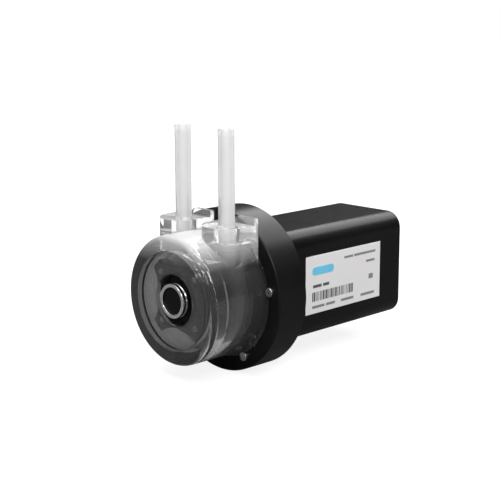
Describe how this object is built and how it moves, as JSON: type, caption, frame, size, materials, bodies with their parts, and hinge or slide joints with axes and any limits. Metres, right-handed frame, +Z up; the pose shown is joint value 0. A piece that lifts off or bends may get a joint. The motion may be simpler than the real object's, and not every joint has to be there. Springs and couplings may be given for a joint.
{
  "type": "peristaltic pump",
  "caption": "Small motor-driven peristaltic pump: clear roller head with two tube ends, round mounting flange, rounded motor housing.",
  "frame": {"origin": "on the pump's axis at the rear face of the round flange, which seats on a panel", "axes": "+Y back along the pump's axis from the head to the motor, +Z up through the two tube ends, +X towards the label's side"},
  "size_m": [0.0412, 0.0715, 0.0619],
  "materials": {
    "clear_plastic": "clear moulded polycarbonate, polished",
    "silicone_tube": "translucent silicone rubber",
    "steel": "plated steel",
    "polished_steel": "polished steel",
    "black_plastic": "black moulded plastic",
    "roller_plastic": "off-white acetal",
    "bronze": "sintered bronze",
    "brass": "brass",
    "satin_black": "satin black moulded plastic, fine texture",
    "dark_gear_plastic": "dark acetal",
    "gear_plastic": "natural acetal",
    "can_steel": "zinc-plated sheet steel",
    "magnet": "ferrite",
    "core_steel": "laminated steel",
    "copper": "enamelled copper",
    "white_plastic": "off-white moulded plastic",
    "carbon": "carbon block",
    "wire_red": "wire insulation",
    "socket_plastic": "ivory moulded plastic",
    "label": "printed pale grey film"
  },
  "bodies": {
    "pump_body": {"mounting_flange": "satin_black", "head_cup": "clear_plastic", "port_collar_left": "clear_plastic", "port_collar_right": "clear_plastic", "pump_tube": "silicone_tube", "head_screws": "steel", "output_bearing": "bronze", "housing_screws": "steel", "ring_gear": "dark_gear_plastic", "motor_plate": "steel", "motor_screws": "steel", "motor_can": "can_steel", "motor_front_bush": "bronze", "motor_rear_bush": "bronze", "motor_magnets": "magnet", "motor_end_cap": "white_plastic", "brush_springs": "brass", "motor_brushes": "carbon", "motor_terminals": "brass", "lead_wires": "wire_red", "motor_housing": "satin_black", "rear_cover": "satin_black", "rear_cover_screws": "steel", "power_socket": "socket_plastic", "socket_pins": "brass", "rating_label": "label"},
    "rotor": {"rotor_front_plate": "black_plastic", "rotor_rear_plate": "black_plastic", "rotor_hub": "black_plastic", "hub_ring": "polished_steel", "rotor_cap": "black_plastic", "roller_pins": "steel", "drive_shaft": "steel", "planet_carrier": "steel", "planet_pins": "steel"},
    "motor_rotor": {"motor_shaft": "polished_steel", "sun_gear": "brass", "armature_core": "core_steel", "armature_windings": "copper", "commutator": "copper"},
    "roller_1_body": {"roller_1": "roller_plastic"},
    "roller_2_body": {"roller_2": "roller_plastic"},
    "roller_3_body": {"roller_3": "roller_plastic"},
    "roller_4_body": {"roller_4": "roller_plastic"},
    "planet_1_body": {"planet_gear_1": "gear_plastic"},
    "planet_2_body": {"planet_gear_2": "gear_plastic"},
    "planet_3_body": {"planet_gear_3": "gear_plastic"}
  },
  "joints": [
    {"name": "rotor_spin", "type": "hinge", "parent": "pump_body", "child": "rotor", "pos_m": [0, 0, 0], "axis": [0, 1, 0], "continuous": true, "deforming": ["pump_tube"]},
    {"name": "motor_spin", "type": "hinge", "parent": "pump_body", "child": "motor_rotor", "pos_m": [0, 0, 0], "axis": [0, 1, 0], "continuous": true},
    {"name": "roller_1_spin", "type": "hinge", "parent": "rotor", "child": "roller_1_body", "pos_m": [0.00608, -0.016, 0.00608], "axis": [0, 1, 0], "continuous": true},
    {"name": "roller_2_spin", "type": "hinge", "parent": "rotor", "child": "roller_2_body", "pos_m": [-0.00608, -0.016, 0.00608], "axis": [0, 1, 0], "continuous": true},
    {"name": "roller_3_spin", "type": "hinge", "parent": "rotor", "child": "roller_3_body", "pos_m": [-0.00608, -0.016, -0.00608], "axis": [0, 1, 0], "continuous": true},
    {"name": "roller_4_spin", "type": "hinge", "parent": "rotor", "child": "roller_4_body", "pos_m": [0.00608, -0.016, -0.00608], "axis": [0, 1, 0], "continuous": true},
    {"name": "planet_1_spin", "type": "hinge", "parent": "rotor", "child": "planet_1_body", "pos_m": [0, -0.003, 0.006], "axis": [0, 1, 0], "continuous": true},
    {"name": "planet_2_spin", "type": "hinge", "parent": "rotor", "child": "planet_2_body", "pos_m": [-0.0052, -0.003, -0.003], "axis": [0, 1, 0], "continuous": true},
    {"name": "planet_3_spin", "type": "hinge", "parent": "rotor", "child": "planet_3_body", "pos_m": [0.0052, -0.003, -0.003], "axis": [0, 1, 0], "continuous": true}
  ],
  "couplings": [
    {"joint": "motor_spin", "follows": "rotor_spin", "ratio": 4},
    {"joint": "roller_1_spin", "follows": "rotor_spin", "ratio": -4.1852},
    {"joint": "roller_2_spin", "follows": "rotor_spin", "ratio": -4.1852},
    {"joint": "roller_3_spin", "follows": "rotor_spin", "ratio": -4.1852},
    {"joint": "roller_4_spin", "follows": "rotor_spin", "ratio": -4.1852},
    {"joint": "planet_1_spin", "follows": "rotor_spin", "ratio": -3},
    {"joint": "planet_2_spin", "follows": "rotor_spin", "ratio": -3},
    {"joint": "planet_3_spin", "follows": "rotor_spin", "ratio": -3}
  ]
}
